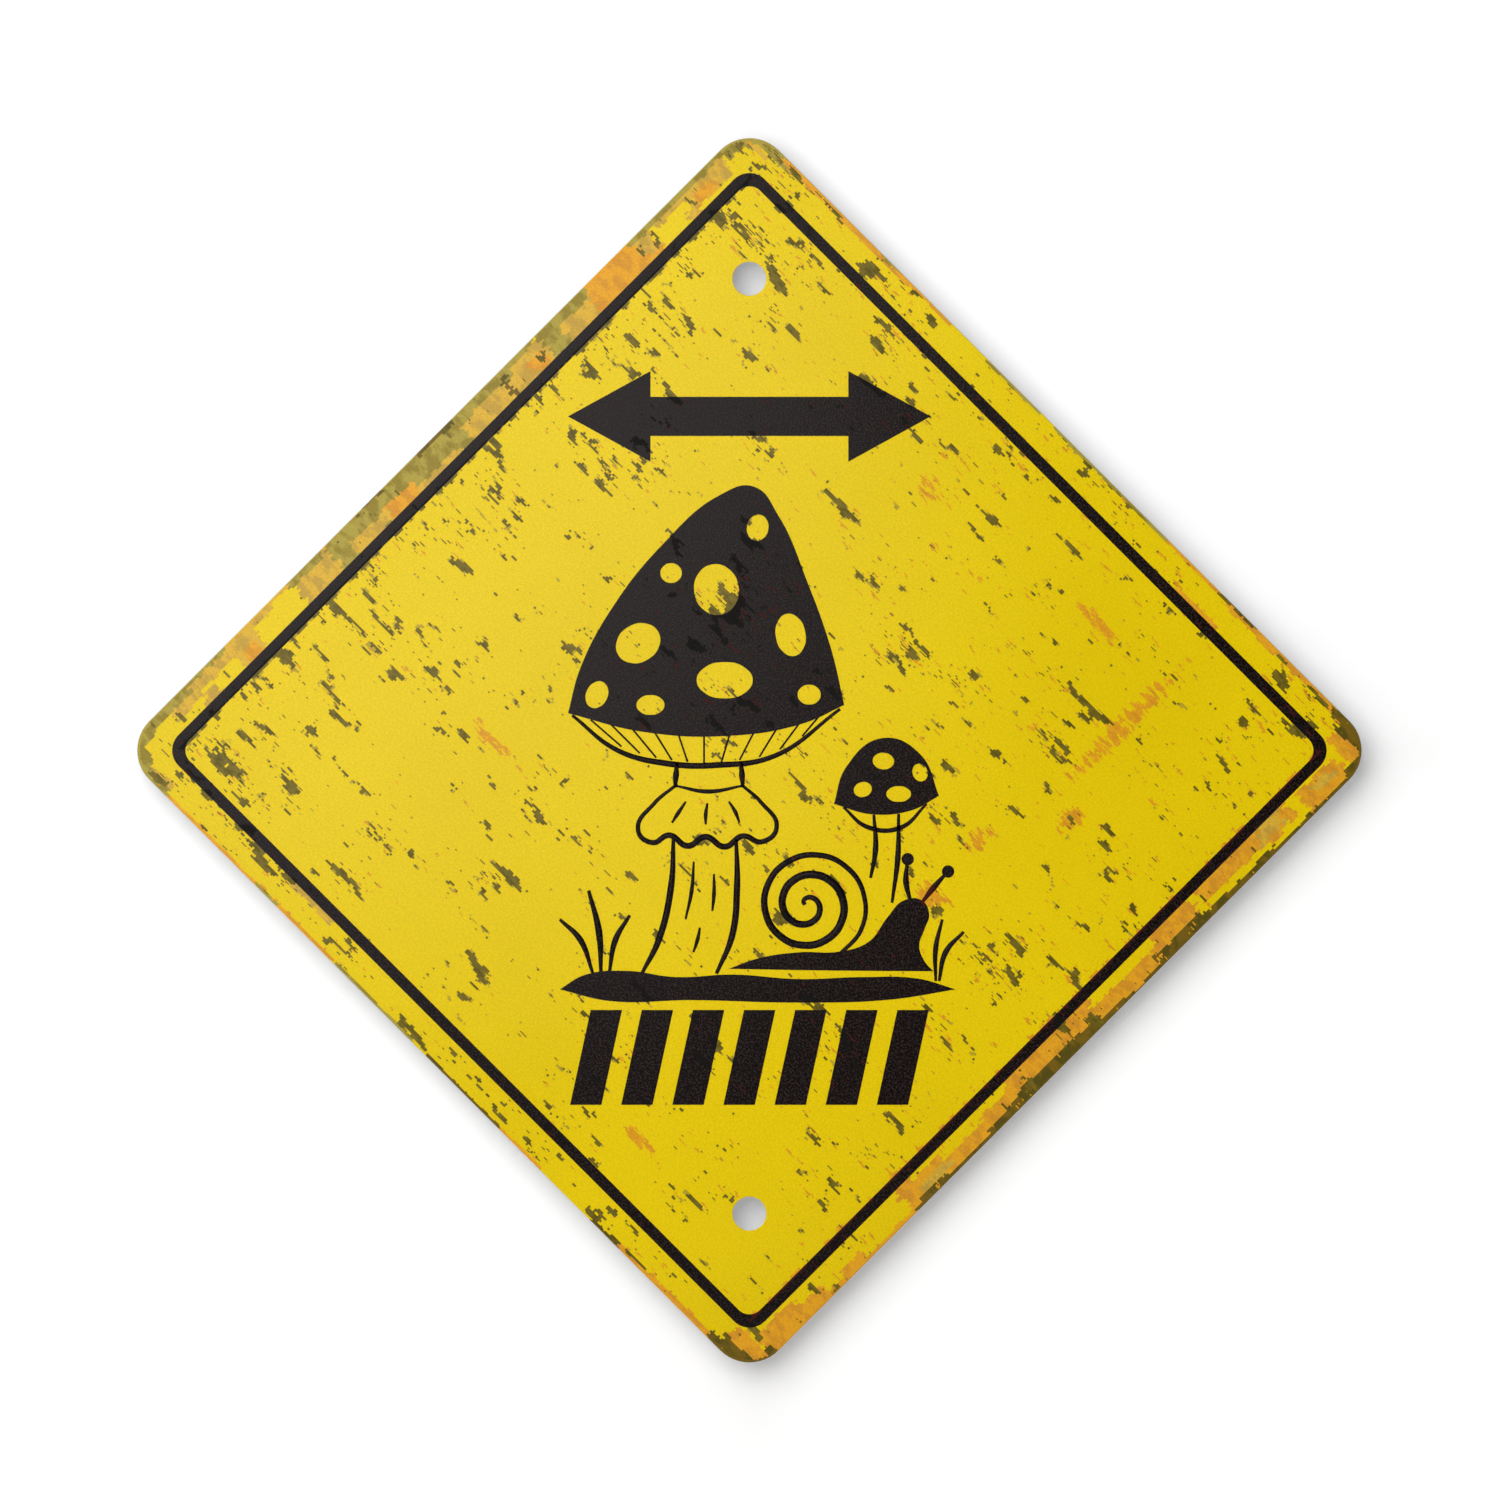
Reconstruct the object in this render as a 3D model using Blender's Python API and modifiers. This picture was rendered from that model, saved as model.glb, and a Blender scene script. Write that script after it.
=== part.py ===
"""A novelty crossing sign: one aluminium sheet, blanked as a square stood on its corner.

Metres, +Z up. The origin is the middle of the back face, which lies against the wall or post.
The printed front looks along -Y, with +X to its right.
"""

import math

import bmesh
import bpy
from mathutils import Matrix

INCH = 0.0254

# The blank
SIDE = 8.5 * INCH
SHEET_THICKNESS = 0.040 * INCH
CORNER_RADIUS = 0.010
RIM_ROLL = 0.0003  # rounding that the blanking die leaves round the front edge

# The two screw holes, one above the other, punched from the front
HOLE_DIAMETER = 0.0082
HOLE_SPACING = 0.2268
HOLE_PAIR_RISE = 0.001  # middle of the pair above the middle of the sheet
HOLE_ROLL = 0.0002  # rounding that the punch leaves round each hole's mouth

# The black line screen-printed inside the edge, which stands proud by the thickness of its ink
LINE_INSET = 0.0074
LINE_WIDTH = 0.0027
LINE_OUTER_RADIUS = 0.0053
LINE_INNER_RADIUS = 0.0037
INK_THICKNESS = 0.00003

# Facets of the round stretches, and how far a punch runs past the sheet
CORNER_STEPS = 12
ROLL_STEPS = 4
HOLE_STEPS = 64
PUNCH_OVERRUN = 0.002

# Colour, roughness and metallic value of each finish, in the order of the sheet's material slots
FINISHES = {
    "yellow_enamel": ((0.77, 0.54, 0.016), 0.45, 0.0),
    "black_ink": ((0.025, 0.017, 0.013), 0.5, 0.0),
    "bare_aluminium": ((0.60, 0.60, 0.61), 0.35, 1.0),
}
YELLOW, BLACK, METAL = range(3)


def clear_scene():
    for thing in list(bpy.data.objects):
        bpy.data.objects.remove(thing, do_unlink=True)


def new_collection(name):
    made = bpy.data.collections.new(name)
    bpy.context.scene.collection.children.link(made)
    return made


def new_object(name, mesh, collection, materials):
    for material in materials:
        mesh.materials.append(material)
    made = bpy.data.objects.new(name, mesh)
    collection.objects.link(made)
    return made


def finish(name):
    """A Principled material with the finish's colour, roughness and metallic value."""
    colour, roughness, metallic = FINISHES[name]
    made = bpy.data.materials.new(name)
    made.use_nodes = True
    shader = made.node_tree.nodes["Principled BSDF"].inputs
    shader["Base Color"].default_value = (*colour, 1.0)
    shader["Roughness"].default_value = roughness
    shader["Metallic"].default_value = metallic
    made.diffuse_color = (*colour, 1.0)
    return made


def quarter_round(radius):
    """Points of a quarter circle, as (across, up), from its upright wall over to the flat."""
    for step in range(ROLL_STEPS + 1):
        turn = math.pi / 2 * step / ROLL_STEPS
        yield radius * (1 - math.cos(turn)), radius * math.sin(turn)


def sheet_outlines():
    """Nested outlines that the sheet's edge and front run through, from the back edge inwards.

    Each gives the inset from the side, the corner radius, the height over the back face, and the
    finish of the band between it and the outline before it.
    """
    yield 0.0, CORNER_RADIUS, 0.0, METAL
    roll = min(RIM_ROLL, SHEET_THICKNESS / 2)
    wall = SHEET_THICKNESS - roll
    for across, up in quarter_round(roll):
        yield across, CORNER_RADIUS - across, wall + up, YELLOW if up else METAL
    line_end = LINE_INSET + LINE_WIDTH
    ink_top = SHEET_THICKNESS + INK_THICKNESS
    yield LINE_INSET, LINE_OUTER_RADIUS, SHEET_THICKNESS, YELLOW
    yield LINE_INSET, LINE_OUTER_RADIUS, ink_top, BLACK
    yield line_end, LINE_INNER_RADIUS, ink_top, BLACK
    yield line_end, LINE_INNER_RADIUS, SHEET_THICKNESS, BLACK


def rounded_diamond(bm, inset, corner_radius, height):
    """A flat face: the sheet's square stood on its corner, moved in, with its corners rounded."""
    stood = Matrix.Rotation(math.radians(45), 4, "Z")
    place = Matrix.Translation((0, 0, height)) @ stood
    reach = SIDE / 2 - inset
    square = bmesh.ops.create_grid(bm, x_segments=1, y_segments=1, size=reach, matrix=place)
    rounded = bmesh.ops.bevel(
        bm,
        geom=square["verts"],
        affect="VERTICES",
        offset=corner_radius,
        segments=CORNER_STEPS,
        profile=0.5,
    )
    return rounded["verts"][0].link_faces[0]


def loft(bm, outer, inner, band):
    """Joins two outlines, given as rings of as many corners, by a band of four-sided faces."""
    for corner in range(len(outer)):
        quad = outer[corner - 1], outer[corner], inner[corner], inner[corner - 1]
        bm.faces.new(quad).material_index = band


def make_sheet(collection, materials):
    """Lofts the sheet through its outlines, closed by the flat back and by the printed field."""
    bm = bmesh.new()
    bands = [outline[3] for outline in sheet_outlines()]
    faces = [rounded_diamond(bm, *outline[:3]) for outline in sheet_outlines()]
    faces[0].material_index = METAL
    faces[-1].material_index = YELLOW
    rings = [list(face.verts) for face in faces]
    for outer, inner, band in zip(rings, rings[1:], bands[1:]):
        loft(bm, outer, inner, band)
    bmesh.ops.delete(bm, geom=faces[1:-1], context="FACES_ONLY")
    bmesh.ops.recalc_face_normals(bm, faces=bm.faces)
    # The outlines lie flat, so the sheet is stood up with its front towards -Y
    stand = Matrix.Rotation(math.radians(90), 3, "X")
    bmesh.ops.rotate(bm, verts=bm.verts, matrix=stand)
    mesh = bpy.data.meshes.new("sign_plate")
    bm.to_mesh(mesh)
    bm.free()
    return new_object("sign_plate", mesh, collection, materials)


def make_punch(name, height, collection, material):
    """A turned punch, flared where the sheet's front rolls down into the hole."""
    radius = HOLE_DIAMETER / 2
    roll = min(HOLE_ROLL, SHEET_THICKNESS / 2)
    wall = SHEET_THICKNESS - roll
    flare = [(radius + across, wall + up) for across, up in quarter_round(roll)]
    top = SHEET_THICKNESS + PUNCH_OVERRUN
    side = [(radius, -PUNCH_OVERRUN), *flare, (flare[-1][0], top)]
    profile = [(0.0, top), *reversed(side), (0.0, -PUNCH_OVERRUN)]
    mesh = bpy.data.meshes.new(name)
    edges = [(index, index + 1) for index in range(len(profile) - 1)]
    mesh.from_pydata([(across, 0.0, up) for across, up in profile], edges, [])
    punch = new_object(name, mesh, collection, [material])
    turn = punch.modifiers.new("turned", "SCREW")
    turn.axis = "Z"
    turn.steps = turn.render_steps = HOLE_STEPS
    turn.use_merge_vertices = True
    turn.merge_threshold = 1e-6
    punch.location = (0.0, 0.0, height)
    punch.rotation_euler = (math.radians(90), 0.0, 0.0)
    punch.hide_render = True
    punch.display_type = "WIRE"
    return punch


def punch_hole(sheet, punch):
    cut = sheet.modifiers.new(punch.name, "BOOLEAN")
    cut.operation = "DIFFERENCE"
    cut.solver = "EXACT"
    cut.material_mode = "TRANSFER"
    cut.object = punch


def build():
    clear_scene()
    sign = new_collection("Crossing sign")
    cutters = new_collection("Cutters")
    materials = [finish(name) for name in FINISHES]
    sheet = make_sheet(sign, materials)
    for name, side in (("top_hole_punch", 1), ("bottom_hole_punch", -1)):
        height = HOLE_PAIR_RISE + side * HOLE_SPACING / 2
        punch = make_punch(name, height, cutters, materials[METAL])
        punch_hole(sheet, punch)


build()
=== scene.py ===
"""The looks of a novelty crossing sign on its packed sheet: enamel, printed rust, black ink, light."""

import math

import bmesh
import bpy
from mathutils import Matrix, Vector


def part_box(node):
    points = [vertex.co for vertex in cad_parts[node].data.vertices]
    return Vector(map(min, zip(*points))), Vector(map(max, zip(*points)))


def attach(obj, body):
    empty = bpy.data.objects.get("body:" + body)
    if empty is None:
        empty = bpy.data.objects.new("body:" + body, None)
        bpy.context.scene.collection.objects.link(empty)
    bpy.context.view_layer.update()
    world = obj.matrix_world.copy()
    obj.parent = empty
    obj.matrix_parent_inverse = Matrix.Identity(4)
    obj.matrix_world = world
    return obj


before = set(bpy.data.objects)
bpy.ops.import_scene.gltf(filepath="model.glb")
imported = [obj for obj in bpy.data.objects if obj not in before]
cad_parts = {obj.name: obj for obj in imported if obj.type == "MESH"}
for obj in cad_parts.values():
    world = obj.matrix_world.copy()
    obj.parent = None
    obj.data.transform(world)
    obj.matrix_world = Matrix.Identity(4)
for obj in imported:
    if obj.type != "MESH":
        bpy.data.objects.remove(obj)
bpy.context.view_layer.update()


# The sheet is one blank of 1 mm aluminium, enamelled yellow on its front before it was punched.
# The die rolled its front edge over, so the enamel and its stains wrap the rim, while the cut walls
# and the back are bare metal with the mill's rolling lines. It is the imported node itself.

MM = 0.001
low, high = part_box("sign_plate")
PRINTED_RIDGE = 0.03  # millimetres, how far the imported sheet's printed line stands proud
FACE = -low.y / MM - PRINTED_RIDGE  # from the back of the sheet to its enamel
RIM_ROLL = 0.3
CORNER_RADIUS = 10.0
HALF = (high.x / MM - CORNER_RADIUS) / math.sqrt(2) + CORNER_RADIUS  # half of one side
FLAT = 2 * (HALF - RIM_ROLL)  # from roll to roll
SCREEN_CELLS = 392  # of the screen that the rust was printed through, over the flat
CELL = FLAT / SCREEN_CELLS
SATIN = 0.16  # the roughness of the enamel and of the black ink
SHEEN = 0.07  # how strongly the enamel and the coloured inks mirror, as a specular level


def screen_colour(red, green, blue):
    """The colour to write in a shader for one that shows as these values, of 255, on a screen."""
    shares = [value / 255 for value in (red, green, blue)]
    linear = [s / 12.92 if s <= 0.04045 else ((s + 0.055) / 1.055) ** 2.4 for s in shares]
    return (*linear, 1.0)


class Number:
    """A socket that carries one number, so that a sum written with it adds its Math nodes."""

    def __init__(self, bench, socket):
        self.bench = bench
        self.socket = socket

    def __add__(self, other):
        return self.bench.sum("ADD", self, other)

    __radd__ = __add__

    def __sub__(self, other):
        return self.bench.sum("SUBTRACT", self, other)

    def __rsub__(self, other):
        return self.bench.sum("SUBTRACT", other, self)

    def __mul__(self, other):
        return self.bench.sum("MULTIPLY", self, other)

    __rmul__ = __mul__

    def __truediv__(self, other):
        return self.bench.sum("DIVIDE", self, other)

    def __gt__(self, other):
        return self.bench.sum("GREATER_THAN", self, other)

    def __lt__(self, other):
        return self.bench.sum("LESS_THAN", self, other)

    def __abs__(self):
        return self.bench.sum("ABSOLUTE", self)

    def ramp(self, start, full):
        """0 at start, 1 at full, straight between and level past them."""
        return self.bench.sum("MULTIPLY", self - start, 1 / (full - start), clamp=True)


class Bench:
    """One node tree being laid out, of a material or of Geometry Nodes."""

    def __init__(self, tree):
        self.tree = tree

    def feed(self, socket, value):
        """Links a node's first output, a Number or a socket, or sets a plain value."""
        if isinstance(value, Number):
            value = value.socket
        if isinstance(value, bpy.types.Node):
            value = value.outputs[0]
        if isinstance(value, bpy.types.NodeSocket):
            self.tree.links.new(value, socket)
        else:
            socket.default_value = value

    def add(self, kind, settings=None, sockets=None):
        """Any node: its settings are set first, then the values or links of its sockets."""
        node = self.tree.nodes.new(kind)
        for name, value in (settings or {}).items():
            setattr(node, name, value)
        for name, value in (sockets or {}).items():
            self.feed(node.inputs[name], value)
        return node

    def sum(self, operation, *terms, clamp=False):
        node = self.add("ShaderNodeMath", {"operation": operation, "use_clamp": clamp})
        for socket, term in zip(node.inputs, terms):
            self.feed(socket, term)
        return Number(self, node.outputs[0])

    def split(self, vector):
        parts = self.add("ShaderNodeSeparateXYZ", None, {"Vector": vector})
        return [Number(self, socket) for socket in parts.outputs]

    def noise(self, along, across, size, detail=2.0, rough=0.5, seed=0.0):
        """Soft noise about 0.5, its blobs of a size along and a size across."""
        steps = {"X": along / size[0], "Y": across / size[1], "Z": seed}
        at = self.add("ShaderNodeCombineXYZ", None, steps)
        sockets = {"Vector": at, "Scale": 1.0, "Detail": detail, "Roughness": rough}
        return Number(self, self.add("ShaderNodeTexNoise", None, sockets).outputs[0])

    def colour(self, share, first, second, blend="MIX"):
        """The first colour going over to the second by a share."""
        node = self.add("ShaderNodeMix", {"data_type": "RGBA", "blend_type": blend})
        for index, value in ((0, share), (6, first), (7, second)):
            self.feed(node.inputs[index], value)
        return node.outputs[2]

    def shaded(self, colour, strength):
        """A colour made lighter or darker by a number about 1."""
        grey = self.add("ShaderNodeCombineXYZ", None, {"X": strength, "Y": strength, "Z": strength})
        return self.colour(1.0, colour, grey.outputs[0], "MULTIPLY")


def new_finish(name, sheen=SHEEN):
    """A Principled material, its bench and its shader's sockets."""
    finish = bpy.data.materials.new(name)
    finish.use_nodes = True
    shader = finish.node_tree.nodes["Principled BSDF"].inputs
    shader["Specular IOR Level"].default_value = sheen
    return finish, Bench(finish.node_tree), shader


def sheet_place(bench):
    """Where a point lies, in millimetres: along and across the sheet, and back from its face.

    Along runs down to the right and across runs up to the right, as the sheet's sides do.
    """
    at = bench.add("ShaderNodeTexCoord").outputs["Object"]
    right, back, up = (part / MM for part in bench.split(at))
    return (right - up) * math.sqrt(0.5), (right + up) * math.sqrt(0.5), back + FACE


def edge_depth(bench, along, across):
    """How far in from the sheet's edge a point lies, and 1 where that edge is a round corner."""
    straight = HALF - CORNER_RADIUS
    past_along, past_across = abs(along) - straight, abs(across) - straight
    side = bench.sum("MAXIMUM", past_along, past_across)
    in_corner = (past_along > 0) * (past_across > 0)
    corner = bench.sum("SQRT", past_along * past_along + past_across * past_across)
    return CORNER_RADIUS - (side * (1 - in_corner) + corner * in_corner), in_corner


SPECK = (0.46, 0.46)  # the size of one speck of grain


def ink_grain(bench, along, across):
    """The fine dry grain of a sprayed or screened ink, about 0."""
    return bench.noise(along, across, SPECK, 1.0, 0.6, seed=3.1) - 0.5


GRAIN_STRENGTH = 0.3
GRAIN_HEIGHT = 0.04


def grained(bench, shader, colour, grain, contrast, relief, roughness):
    """Lays a colour with its grain in the shader: its tone, its gloss and its relief."""
    bench.feed(shader["Base Color"], bench.shaded(colour, 1 + grain * contrast))
    bench.feed(shader["Roughness"], roughness)
    sockets = {"Strength": GRAIN_STRENGTH, "Distance": GRAIN_HEIGHT * MM, "Height": relief}
    bench.feed(shader["Normal"], bench.add("ShaderNodeBump", None, sockets))


# The rust printed in the margin, side by side and run by run, in millimetres: its kind, where it
# starts and ends along the side, and how deep it starts and ends from the sheet's edge. Brown on
# the lower right rim and at the right and bottom tips is painted shade, where the rim faces away
# from the light. Every side is measured from its middle, from left to right, and a later run
# covers an earlier one.
STAINS_AND_RIM_SHADE = {
    "upper_left": [
        ("olive", -109, -84, 0, 2.2),
        ("olive", -109, -99, 0, 3.6),
        ("tan", -93, -84, 2.0, 5.2),
        ("tan", -86, -72, 0.6, 3.6),
        ("olive", -84, -71, 0, 1.0),
        ("tan", -84.5, -81, 4.6, 7.4),
        ("tan", -72, -64.5, 0, 9.0),
        ("orange", -70.5, -66, 4.2, 7.6),
        ("tan", -66, -57, 0, 2.0),
        ("tan", -57, -50, 0, 0.7),
        ("tan", -50, -38, 0, 9.0),
        ("olive", -51, -40, 0, 1.8),
        ("olive", -38, 33, 0, 9.0),
        ("tan", -33, -19, 4.2, 7.4),
        ("orange", -21, -12, 3.8, 7.4),
        ("tan", -13, 3, 6.0, 8.2),
        ("brown", -7, 5, 0, 1.0),
        ("brown", -26, -19, 0, 0.7),
        ("tan", 6, 24, 3.2, 9.0),
        ("tan", 11, 21, 2.2, 5.0),
        ("tan", 24, 34, 1.2, 9.0),
        ("orange", 28, 33, 3.6, 9.0),
        ("brown", 20.4, 21.8, 1.4, 7.0),
        ("olive", 34, 50, 0, 9.0),
        ("tan", 40, 50, 2.8, 7.6),
        ("orange", 50, 72, 0, 9.0),
        ("tan", 67, 72, 0, 6.0),
        ("olive", 66, 72, 0, 1.4),
        ("tan", 74, 84, 0.6, 2.6),
        ("tan", 81, 84.5, 4.6, 7.4),
        ("tan", 84, 97, 1.2, 6.2),
        ("orange", 85, 91, 3.0, 6.0),
        ("olive", 72, 109, 0, 1.5),
        ("olive", 98, 109, 0, 3.6),
    ],
    "upper_right": [
        ("olive", -109, -92, 0, 2.6),
        ("olive", -109, -102, 0, 5.0),
        ("tan", -107, -98, 3.2, 4.4),
        ("orange", -95, -52, 0, 1.4),
        ("orange", -52, -38, 0, 0.9),
        ("olive", -63, -56, 0, 0.7),
        ("olive", -26, -8, 0, 0.7),
        ("olive", -3, 36, 0, 0.6),
        ("orange", 36, 58, 0, 0.7),
        ("orange", 57, 96, 0, 1.5),
        ("brown", 54, 65, 0, 0.7),
        ("orange", 46, 60, 6.2, 7.6),
        # Brown at the right tip is painted shade over the stain, where the rim faces away from the
        # light
        ("brown", 93, 109, 0, 2.4),
        ("brown", 97, 109, 0, 4.4),
        ("orange", 97, 108, 4.0, 7.4),
    ],
    "lower_right": [
        ("orange", -98, -50, 0, 0.9),
        # Brown along most of this side's rim is painted shade, where the rim faces away from the light
        ("brown", -50, 109, 0, 0.8),
        ("orange", -100, -86, 0.8, 6.2),
        ("orange", -87, -79, 0.8, 3.8),
        ("orange", -80, -73, 0.8, 1.6),
        ("orange", -73, -67, 0.8, 3.2),
        ("orange", -51, -46, 0.8, 9.0),
        ("orange", -46, -37, 0.8, 6.2),
        ("orange", -38, -22, 0.8, 4.2),
        ("orange", -23, -13, 0.8, 5.4),
        ("orange", -14, 15, 2.0, 9.0),
        ("orange", 14, 37, 0.8, 4.6),
        ("orange", 36, 50, 1.6, 9.0),
        ("orange", 52, 74, 3.6, 9.0),
        ("tan", -46, -36, 1.8, 3.8),
        ("tan", 72, 81, 3.0, 8.0),
        ("orange", 73, 78, 1.6, 3.6),
        ("orange", 80, 83, 2.4, 8.0),
        ("orange", 86, 99, 0.8, 6.6),
        ("tan", 90, 96, 3.2, 5.6),
        ("brown", -48, -38, 0, 1.8),
        ("brown", -24, 14, 0, 2.2),
        ("brown", -14, 8, 0, 3.2),
        ("brown", 13, 22, 0, 1.6),
        ("brown", 34, 50, 0, 3.0),
        ("brown", 49, 74, 0, 1.7),
        # Brown at the bottom and right tips is painted shade over the stain
        ("brown", -109, -98, 0, 2.6),
        ("brown", 98, 109, 0, 2.6),
    ],
    "lower_left": [
        ("olive", -109, -92, 0, 2.8),
        ("olive", -109, -101, 0, 4.6),
        ("tan", -99, -92, 2.0, 3.4),
        ("orange", -92, -36, 0, 0.9),
        ("olive", -62, -54, 0, 0.7),
        ("olive", -34, -8, 0, 0.7),
        ("brown", -3, 22, 0, 0.7),
        ("orange", 22, 36, 0, 0.6),
        ("tan", -56, -42, 6.0, 7.6),
        ("orange", 60, 95, 0, 1.4),
        ("brown", 53, 63, 0, 0.9),
        # Brown at the bottom tip is painted shade over the stain, where the rim faces away from the
        # light
        ("brown", 93, 109, 0, 2.6),
        ("brown", 97, 109, 0, 4.2),
        ("orange", 97, 108, 4.0, 7.4),
    ],
}
STAIN_AND_RIM_SHADE_COLOURS = {
    "olive": (screen_colour(166, 149, 58), screen_colour(139, 121, 40)),
    "tan": (screen_colour(211, 168, 52), screen_colour(186, 150, 58)),
    "orange": (screen_colour(222, 158, 32), screen_colour(206, 141, 38)),
    # Brown is a stain's colour on the upper sides, and painted shade on the lower right rim and tips
    "brown": (screen_colour(114, 90, 22), screen_colour(84, 74, 18)),
}
STREAK = (5.2, 1.5)  # the print's ragged edges are drawn out along each side
TEAR_ALONG = 8.0  # how strongly they are pulled along it, and in from the edge
TEAR_IN = 3.0


def tears(bench, run, depth, seed):
    """How far a place is pulled along its side and in from the edge, so that stains are ragged."""
    pull = bench.noise(run, depth, STREAK, 4.0, 0.62, seed) - 0.5
    shift = bench.noise(run, depth, STREAK, 4.0, 0.62, seed + 13) - 0.5
    return pull * TEAR_ALONG, shift * TEAR_IN


def side_places(bench, along, across):
    """For each side, a torn place along that side and its depth in from the sheet's edge."""
    pull_along, shift_across = tears(bench, along, across, seed=21.0)
    pull_across, shift_along = tears(bench, across, along, seed=55.0)
    level, upright = along + pull_along, across + pull_across
    return {
        "upper_left": (upright, along + shift_along + HALF),
        "upper_right": (level, HALF - across + shift_across),
        "lower_right": (upright, HALF - along + shift_along),
        "lower_left": (level, across + shift_across + HALF),
    }


def rim_band(bench, run, stains):
    """The colour of the stains, and of the painted shade, that reach the rim of one side, clear where
    none does.
    """
    reaching = [stain for stain in stains if stain[3] == 0]
    ends = [end for stain in reaching for end in stain[1:3] if -HALF < end < HALF]
    band = bench.add("ShaderNodeValToRGB", None, {"Fac": run.ramp(-HALF, HALF)})
    band.color_ramp.interpolation = "CONSTANT"
    stops = band.color_ramp.elements
    stops.remove(stops[1])
    for start in sorted({-HALF, *ends}):
        kinds = [kind for kind, first, last, *_ in reaching if first <= start < last]
        stop = stops[0] if start == -HALF else stops.new((start + HALF) / (2 * HALF))
        stop.color = STAIN_AND_RIM_SHADE_COLOURS[kinds[-1]][0] if kinds else (0, 0, 0, 0)
    return band.outputs["Color"], Number(bench, band.outputs["Alpha"])


def rim_stains_and_shade(bench, along, across):
    """The stains and painted shade on the rolled rim, beyond the last printed cell: their colour, and
    1 on them.
    """
    depth, in_corner = edge_depth(bench, along, across)
    sides = side_places(bench, along, across)
    bands = {side: rim_band(bench, run, STAINS_AND_RIM_SHADE[side]) for side, (run, _) in sides.items()}
    nearer_along = abs(along) > abs(across)
    far_along, far_across = along > 0, across > 0
    pairs = ("upper_left", "lower_right", far_along), ("lower_left", "upper_right", far_across)
    colours, shares = [], []
    for near, far, beyond in pairs:
        colours.append(bench.colour(beyond, bands[near][0], bands[far][0]))
        shares.append(bands[near][1] * (1 - beyond) + bands[far][1] * beyond)
    colour = bench.colour(nearer_along, colours[1], colours[0])
    share = shares[0] * nearer_along + shares[1] * (1 - nearer_along)
    # The outermost whole cells lie further in where the edge is round
    past_cells = depth < RIM_ROLL + CELL * 0.6 + in_corner * CELL * 0.7
    return colour, share * past_cells


ROLLED = 0.34  # the roughness of the bare rolled metal


def sheet_finish():
    """Enamel on the front and round the rim, and bare metal behind that."""
    finish, bench, shader = new_finish("enamelled_aluminium")
    along, across, back = sheet_place(bench)
    grain = ink_grain(bench, along, across)
    bare = back > RIM_ROLL

    # Yellow, a shade deeper in slow clouds
    cloud = bench.noise(along, across, (60, 60), 2.0, 0.5, seed=1.7).ramp(0.35, 0.65)
    enamel = bench.colour(cloud, screen_colour(227, 197, 4), screen_colour(222, 192, 3))
    # The rim takes the stains' colours, with painted shade where it faces down and right
    rim_colour, on_rim = rim_stains_and_shade(bench, along, across)
    enamel = bench.colour(on_rim, enamel, rim_colour)

    # Rolling lines down the mill's length, fine and broad, and duller where it was handled
    fine_lines = bench.noise(along, across, (40, 0.16), 3.0, 0.7, seed=2.4)
    broad_lines = bench.noise(along, across, (160, 1.1), 3.0, 0.7, seed=8.2)
    lines = fine_lines + broad_lines - 1.0
    dull = bench.noise(along, across, (70, 20), 3.0, 0.5, seed=6.6)
    pale, grey = screen_colour(205, 206, 208), screen_colour(190, 191, 193)
    metal = bench.colour(dull.ramp(0.35, 0.7), pale, grey)
    metal = bench.shaded(metal, 1 + lines * 0.42)

    bench.feed(shader["Metallic"], bare)
    enamel_gloss = SATIN + grain * 0.08
    metal_gloss = ROLLED + (dull - 0.5) * 0.25 + lines * 0.2
    gloss = enamel_gloss * (1 - bare) + metal_gloss * bare
    relief = grain * (1 - bare) + lines * bare
    colour = bench.colour(bare, enamel, metal)
    grained(bench, shader, colour, grain * (1 - bare), 0.42, relief, gloss)
    return finish


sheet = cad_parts["sign_plate"]
sheet.data.materials.clear()
sheet.data.materials.append(sheet_finish())


# The rust is only printed: flat stains in the margin, in cells as fine as the screen that they
# were printed through. Each colour is one pull of ink, keyed into the enamel under it, and they
# stop against each other at the cells' edges.

INK_FOOT = -0.010
STAIN_TOP = 0.015
DRY_INK = SATIN + 0.04  # the coloured inks are a little rougher than the enamel
LINE_OUTER = 7.4  # the black line's two edges, in from the sheet's edge
LINE_INNER = 10.1

# From a drawing in millimetres to the sign's face: right and up, or along and across
ON_THE_FACE = (
    Matrix.Translation((0, -FACE * MM, 0))
    @ Matrix.Rotation(math.radians(90), 4, "X")
    @ Matrix.Scale(MM, 4)
)
SQUARE_TO_THE_SHEET = ON_THE_FACE @ Matrix.Rotation(math.radians(-45), 4, "Z")


SCREW_HOLES = (114.4, -112.4)  # up from the sheet's middle
SCREW_HOLE_RADIUS = 4.1
SCREW_HOLE_ROLL = 0.2
HOLE_CLEAR = SCREW_HOLE_RADIUS + SCREW_HOLE_ROLL + CELL
RIM_LAP = 0.02  # how far the outermost cells lap over the start of the roll


def on_the_flat(bench, along, across):
    """1 where a whole cell lies clear of the rolled rim and the screw holes, and its depth."""
    depth, in_corner = edge_depth(bench, along, across)
    clear = depth > RIM_ROLL + CELL / 2 - RIM_LAP + in_corner * CELL * 0.22
    for hole_up in SCREW_HOLES:
        hole_along, hole_across = -hole_up * math.sqrt(0.5), hole_up * math.sqrt(0.5)
        from_along, from_across = along - hole_along, across - hole_across
        clear = clear * (from_along * from_along + from_across * from_across > HOLE_CLEAR**2)
    return clear, depth


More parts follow.
